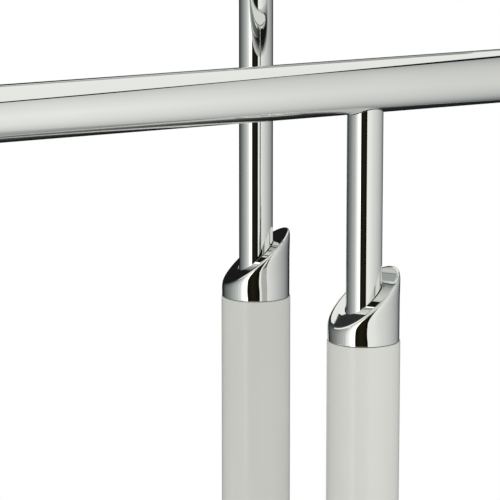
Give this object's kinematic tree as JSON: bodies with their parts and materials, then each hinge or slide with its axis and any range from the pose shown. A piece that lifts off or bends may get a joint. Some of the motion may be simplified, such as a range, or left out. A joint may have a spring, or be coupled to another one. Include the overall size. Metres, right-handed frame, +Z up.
{
  "type": "garment rack",
  "caption": "Straight garment rack with a lower front rail and a higher back rail on chrome posts that telescope in painted sleeves with slant-cut twist collars.",
  "frame": {"origin": "on the floor, under the middle of the rack", "axes": "+Z up, +X along the rails to the right, -Y towards the front, where the lower rail is"},
  "size_m": [1.5134, 0.5606, 1.3525],
  "materials": {
    "black_plastic": "moulded satin plastic",
    "chrome": "polished chrome plate",
    "off_white_paint": "semi-gloss powder coat, warm off-white",
    "pale_nylon": "natural moulded nylon",
    "zinc_steel": "bright zinc plate"
  },
  "bodies": {
    "frame": {"foot_bar_left": "off_white_paint", "foot_cap_left_front": "black_plastic", "leveller_insert_left_front": "zinc_steel", "foot_cap_left_back": "black_plastic", "leveller_insert_left_back": "zinc_steel", "foot_bar_right": "off_white_paint", "foot_cap_right_front": "black_plastic", "leveller_insert_right_front": "zinc_steel", "foot_cap_right_back": "black_plastic", "leveller_insert_right_back": "zinc_steel", "front_stretcher": "chrome", "front_sleeve_left": "off_white_paint", "front_bush_left": "black_plastic", "front_base_bolt_left": "zinc_steel", "front_stretcher_bolt_left": "chrome", "front_sleeve_right": "off_white_paint", "front_bush_right": "black_plastic", "front_base_bolt_right": "zinc_steel", "front_stretcher_bolt_right": "chrome", "back_stretcher": "chrome", "back_sleeve_left": "off_white_paint", "back_bush_left": "black_plastic", "back_base_bolt_left": "zinc_steel", "back_stretcher_bolt_left": "chrome", "back_sleeve_right": "off_white_paint", "back_bush_right": "black_plastic", "back_base_bolt_right": "zinc_steel", "back_stretcher_bolt_right": "chrome"},
    "front_carriage": {"front_rail": "chrome", "front_post_left": "chrome", "front_rail_cap_left": "chrome", "front_nut_plate_left": "zinc_steel", "front_rail_bolt_left": "zinc_steel", "front_slider_left": "pale_nylon", "front_post_right": "chrome", "front_rail_cap_right": "chrome", "front_nut_plate_right": "zinc_steel", "front_rail_bolt_right": "zinc_steel", "front_slider_right": "pale_nylon"},
    "back_carriage": {"back_rail": "chrome", "back_post_left": "chrome", "back_rail_cap_left": "chrome", "back_nut_plate_left": "zinc_steel", "back_rail_bolt_left": "zinc_steel", "back_slider_left": "pale_nylon", "back_post_right": "chrome", "back_rail_cap_right": "chrome", "back_nut_plate_right": "zinc_steel", "back_rail_bolt_right": "zinc_steel", "back_slider_right": "pale_nylon"},
    "front_collar_left_ring": {"front_collar_left": "chrome"},
    "front_collar_right_ring": {"front_collar_right": "chrome"},
    "back_collar_left_ring": {"back_collar_left": "chrome"},
    "back_collar_right_ring": {"back_collar_right": "chrome"},
    "leveller_left_front_foot": {"leveller_left_front": "black_plastic"},
    "leveller_left_back_foot": {"leveller_left_back": "black_plastic"},
    "leveller_right_front_foot": {"leveller_right_front": "black_plastic"},
    "leveller_right_back_foot": {"leveller_right_back": "black_plastic"}
  },
  "joints": [
    {"name": "front_rail_height", "type": "slide", "parent": "frame", "child": "front_carriage", "axis": [0, 0, 1], "range_m": [-0.1, 0.35]},
    {"name": "back_rail_height", "type": "slide", "parent": "frame", "child": "back_carriage", "axis": [0, 0, 1], "range_m": [-0.25, 0.2]},
    {"name": "front_collar_left_twist", "type": "hinge", "parent": "frame", "child": "front_collar_left_ring", "pos_m": [-0.55, -0.083, 1.0024], "axis": [0, 0, 1], "range_deg": [0, 90]},
    {"name": "front_collar_right_twist", "type": "hinge", "parent": "frame", "child": "front_collar_right_ring", "pos_m": [0.55, -0.083, 1.0024], "axis": [0, 0, 1], "range_deg": [0, 90]},
    {"name": "back_collar_left_twist", "type": "hinge", "parent": "frame", "child": "back_collar_left_ring", "pos_m": [-0.55, 0.083, 1.0024], "axis": [0, 0, 1], "range_deg": [0, 90]},
    {"name": "back_collar_right_twist", "type": "hinge", "parent": "frame", "child": "back_collar_right_ring", "pos_m": [0.55, 0.083, 1.0024], "axis": [0, 0, 1], "range_deg": [0, 90]},
    {"name": "leveller_left_front_screw", "type": "slide", "parent": "frame", "child": "leveller_left_front_foot", "axis": [0, 0, -1], "range_m": [0, 0.012]},
    {"name": "leveller_left_back_screw", "type": "slide", "parent": "frame", "child": "leveller_left_back_foot", "axis": [0, 0, -1], "range_m": [0, 0.012]},
    {"name": "leveller_right_front_screw", "type": "slide", "parent": "frame", "child": "leveller_right_front_foot", "axis": [0, 0, -1], "range_m": [0, 0.012]},
    {"name": "leveller_right_back_screw", "type": "slide", "parent": "frame", "child": "leveller_right_back_foot", "axis": [0, 0, -1], "range_m": [0, 0.012]}
  ]
}
